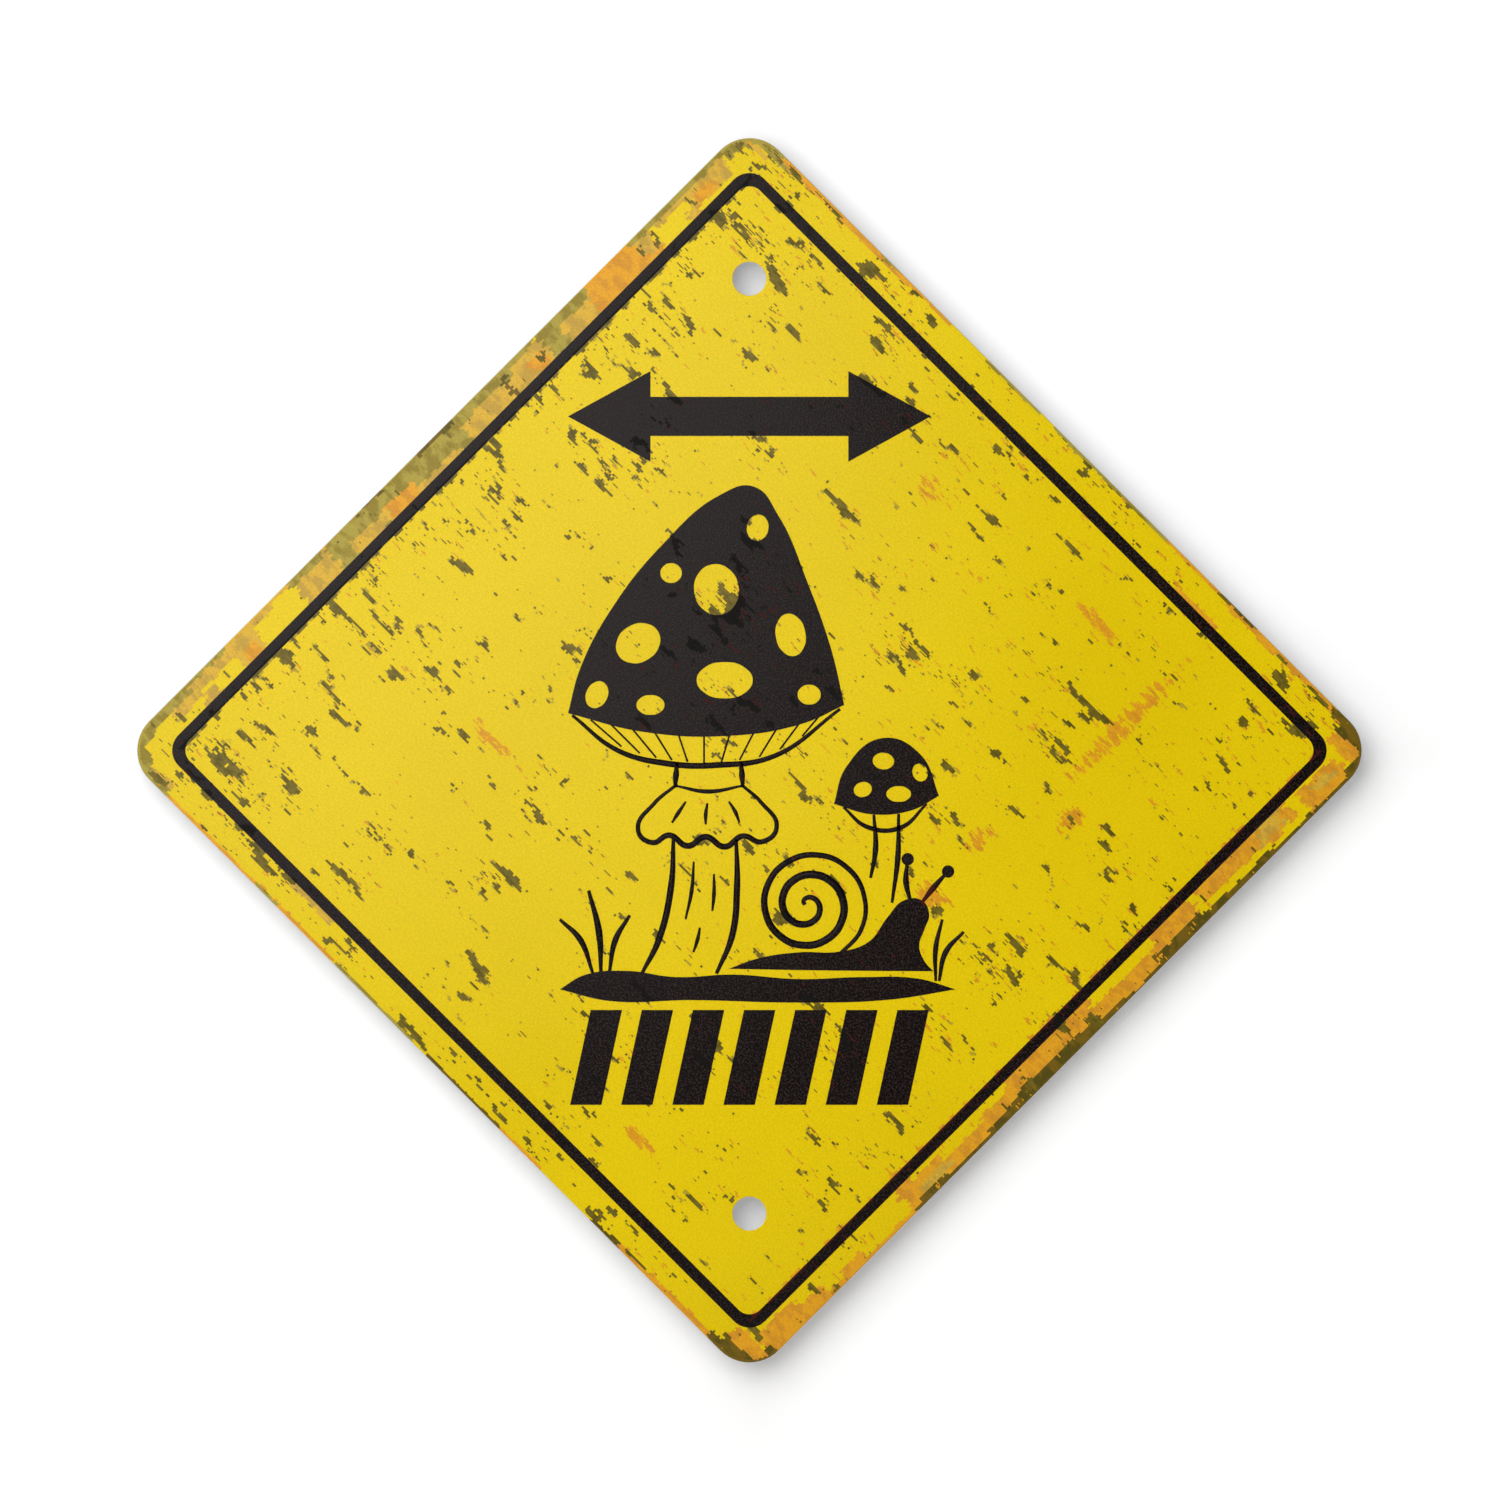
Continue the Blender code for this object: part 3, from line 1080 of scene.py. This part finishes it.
values = {"Strokes": guides, "Ink foot": INK_FOOT, "Ink top": BLACK_TOP - PULL}
stroke_mesh = grown_mesh(bench, inked, black_ink, values)
bpy.data.objects.remove(guides)
finished_piece("brush_lines", stroke_mesh, ON_THE_FACE)


# The stage, in metres: a pale floor, and a pale board behind the sign that catches its soft
# shadow, deepened by painted shadow where the board's glow is made weaker close to the sign. A
# broad lamp lights it from the upper left, a small one is only mirrored in the enamel,
# and the camera stands square on to the sign.

scene = bpy.context.scene
scene.view_settings.view_transform = "Standard"
BOARD_GAP = 0.0070  # from the sheet's back
BOARD_HALF = 0.35
FLOOR_DROP = 0.040  # under the sheet's lowest tip
FLOOR_HALF = 3.0
# Where the glow is weak, close to the sign, the board is painted darker: a painted shadow
GLOW_FROM = high.x * 1.03  # the glow grows between these distances from the sign's middle
GLOW_FULL = high.x * 1.6


def pale_finish(name, near_light, far_light, one_sided):
    """Matte white that glows a little to the eye, more so away from the middle of the sign, so that a
    weaker near glow paints a shadow around the sign.
    """
    finish = bpy.data.materials.new(name)
    finish.use_nodes = True
    bench = Bench(finish.node_tree)
    right, _, up = bench.split(bench.add("ShaderNodeTexCoord").outputs["Object"])
    away = (abs(right) + abs(up)).ramp(GLOW_FROM, GLOW_FULL)
    own_light = near_light + away * (far_light - near_light)
    rays = bench.add("ShaderNodeLightPath").outputs
    seen = bench.sum("MAXIMUM", rays["Is Camera Ray"], rays["Is Glossy Ray"])
    seen = bench.sum("MAXIMUM", seen, rays["Is Transmission Ray"])
    matte = bench.add("ShaderNodeBsdfDiffuse", None, {"Color": (0.9, 0.9, 0.9, 1)})
    glow = bench.add("ShaderNodeEmission", None, {"Strength": seen * own_light})
    shown = bench.add("ShaderNodeAddShader")
    bench.feed(shown.inputs[0], matte)
    bench.feed(shown.inputs[1], glow)
    if one_sided:
        behind = bench.add("ShaderNodeNewGeometry").outputs["Backfacing"]
        both = bench.add("ShaderNodeMixShader", None, {"Fac": behind})
        bench.feed(both.inputs[1], shown)
        bench.feed(both.inputs[2], bench.add("ShaderNodeBsdfTransparent"))
        shown = both
    bench.feed(finish.node_tree.nodes["Material Output"].inputs["Surface"], shown)
    return finish


def pale_plane(name, half, matrix, finish):
    mesh = bpy.data.meshes.new(name)
    bm = bmesh.new()
    bmesh.ops.create_grid(bm, x_segments=1, y_segments=1, size=half, matrix=matrix)
    bm.to_mesh(mesh)
    bm.free()
    mesh.materials.append(finish)
    plane = bpy.data.objects.new(name, mesh)
    scene.collection.objects.link(plane)
    return plane


floor_place = Matrix.Translation((0, 0, low.z - FLOOR_DROP))
floor_finish = pale_finish("pale_floor", near_light=0.55, far_light=0.55, one_sided=False)
pale_plane("floor", FLOOR_HALF, floor_place, floor_finish)
board_place = Matrix.Translation((0, BOARD_GAP, 0)) @ Matrix.Rotation(math.radians(90), 4, "X")
# On the board the glow is weakest by the sign, a painted shadow around it
board_finish = pale_finish("pale_board", near_light=0.13, far_light=0.45, one_sided=True)
board = pale_plane("board", BOARD_HALF, board_place, board_finish)
board.visible_diffuse = board.visible_glossy = board.visible_shadow = False

AMBIENT = 0.27
world = bpy.data.worlds.new("studio")
scene.world = world
world.use_nodes = True
bench = Bench(world.node_tree)
rays = bench.add("ShaderNodeLightPath").outputs
_, toward_back, toward_up = bench.split(bench.add("ShaderNodeTexCoord").outputs["Generated"])
mirrored = toward_back.ramp(-0.2, 0.3) * Number(bench, rays["Is Glossy Ray"])
mirrored_glow = mirrored * toward_up.ramp(-0.9, 0.3)
seen = bench.sum("MAXIMUM", mirrored_glow, rays["Is Camera Ray"])
seen = bench.sum("MAXIMUM", seen, rays["Is Transmission Ray"])
# The sheet's metal back throws none of this light on the board close behind it
off_the_board = mirrored * (Number(bench, rays["Diffuse Depth"]) > 0.5)
studio = world.node_tree.nodes["Background"].inputs
studio["Color"].default_value = (1, 1, 1, 1)
bench.feed(studio["Strength"], (AMBIENT + seen * (1 - AMBIENT)) * (1 - off_the_board))


def lamp(name, place, size, power):
    light = bpy.data.lights.new(name, "AREA")
    light.shape = "DISK"
    light.size = size
    light.energy = power
    holder = bpy.data.objects.new(name, light)
    scene.collection.objects.link(holder)
    holder.location = place
    holder.rotation_euler = Vector(place).to_track_quat("Z", "Y").to_euler()
    return holder


KEY_DISTANCE = 0.9
KEY_SLANT = math.radians(32)
KEY_SIZE = 1.0
KEY_POWER = 7.3
up_left = Vector((-0.9, 0, 1)).normalized() * math.sin(KEY_SLANT)
key_place = KEY_DISTANCE * (up_left - Vector((0, math.cos(KEY_SLANT), 0)))
lamp("key", key_place, KEY_SIZE, KEY_POWER)

# The soft veil over the upper left of the enamel is a smaller lamp's, mirrored there
VEIL_PLACE = (-0.099, -0.77, 0.064)
VEIL_SIZE = 0.31
VEIL_POWER = 0.86
veil = lamp("veil", VEIL_PLACE, VEIL_SIZE, VEIL_POWER)
veil.visible_diffuse = False

CAMERA_DISTANCE = 2.2
FRAME_PIXELS = 1500
SIGN_MIDDLE = (749.4, 750.3)  # where the middle of the sheet is in the photograph's frame
SIDE_PIXELS = 890.0
pixel = 2 * HALF * MM / SIDE_PIXELS
camera = bpy.data.objects.new("camera", bpy.data.cameras.new("camera"))
scene.collection.objects.link(camera)
scene.camera = camera
camera.data.lens = camera.data.sensor_width * CAMERA_DISTANCE / (FRAME_PIXELS * pixel)
camera.rotation_euler = (math.radians(90), 0, 0)
camera.location = (
    (FRAME_PIXELS / 2 - SIGN_MIDDLE[0]) * pixel,
    -FACE * MM - CAMERA_DISTANCE,
    (SIGN_MIDDLE[1] - FRAME_PIXELS / 2) * pixel,
)
